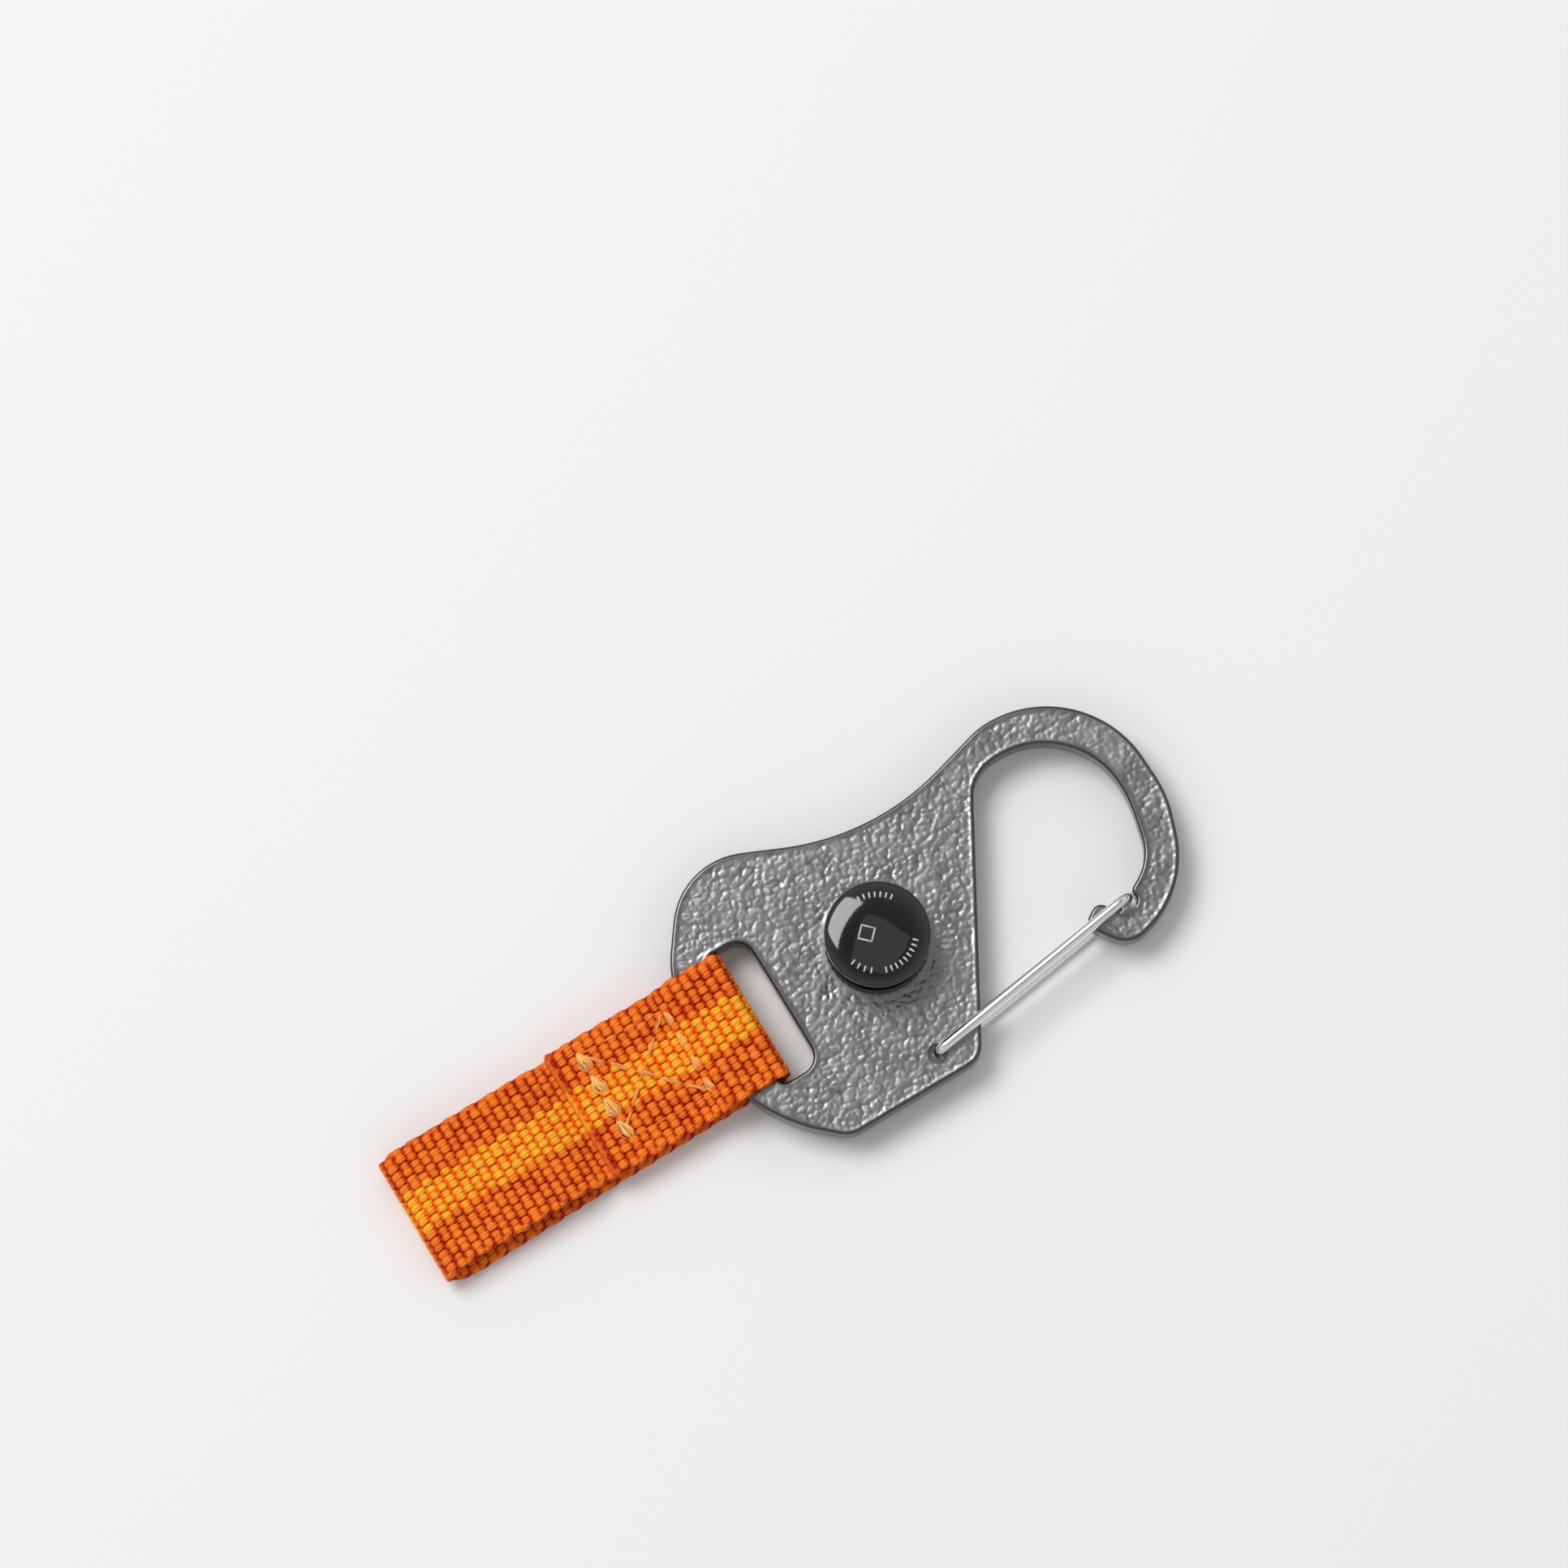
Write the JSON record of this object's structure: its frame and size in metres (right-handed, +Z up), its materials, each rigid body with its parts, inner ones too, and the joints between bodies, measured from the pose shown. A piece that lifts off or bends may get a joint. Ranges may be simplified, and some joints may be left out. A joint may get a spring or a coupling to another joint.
{
  "type": "carabiner keyring",
  "caption": "Flat cast carabiner hook plate with a sprung wire gate, a snap stud on its face and a sewn webbing key loop through a slot.",
  "frame": {"origin": "bottom centre of the bounding box, on the surface that the keyring lies on", "axes": "+X along the plate from the webbing loop towards the hook, +Y across the plate away from the gate, +Z up out of the face that carries the stud"},
  "size_m": [0.0964, 0.0344, 0.0114],
  "materials": {
    "cast_plate": "hammered face with a dark gunmetal plating, smooth rounded rim",
    "gate_steel": "polished stainless spring wire",
    "stud_plastic": "glossy black moulding",
    "webbing": "ribbed woven webbing, rust orange with a yellow centre band",
    "thread": "soft peach sewing thread"
  },
  "bodies": {
    "plate": {"carabiner_plate": "cast_plate", "snap_stud": "stud_plastic", "webbing_eye": "webbing"},
    "gate": {"gate_wire": "gate_steel"},
    "strap": {"webbing_strap": "webbing", "needle_thread": "thread", "bobbin_thread": "thread"}
  },
  "joints": [
    {"name": "gate_hinge", "type": "hinge", "parent": "plate", "child": "gate", "pos_m": [0.01141, -0.01407, 0.0051], "axis": [0, 0, 1], "range_deg": [0, 38], "stiffness_Nm_per_rad": 0.04, "springref_deg": -8.59},
    {"name": "strap_swing", "type": "hinge", "parent": "plate", "child": "strap", "pos_m": [-0.01138, -0.00007, 0.00285], "axis": [0, 1, 0], "range_deg": [-45, 45]}
  ]
}
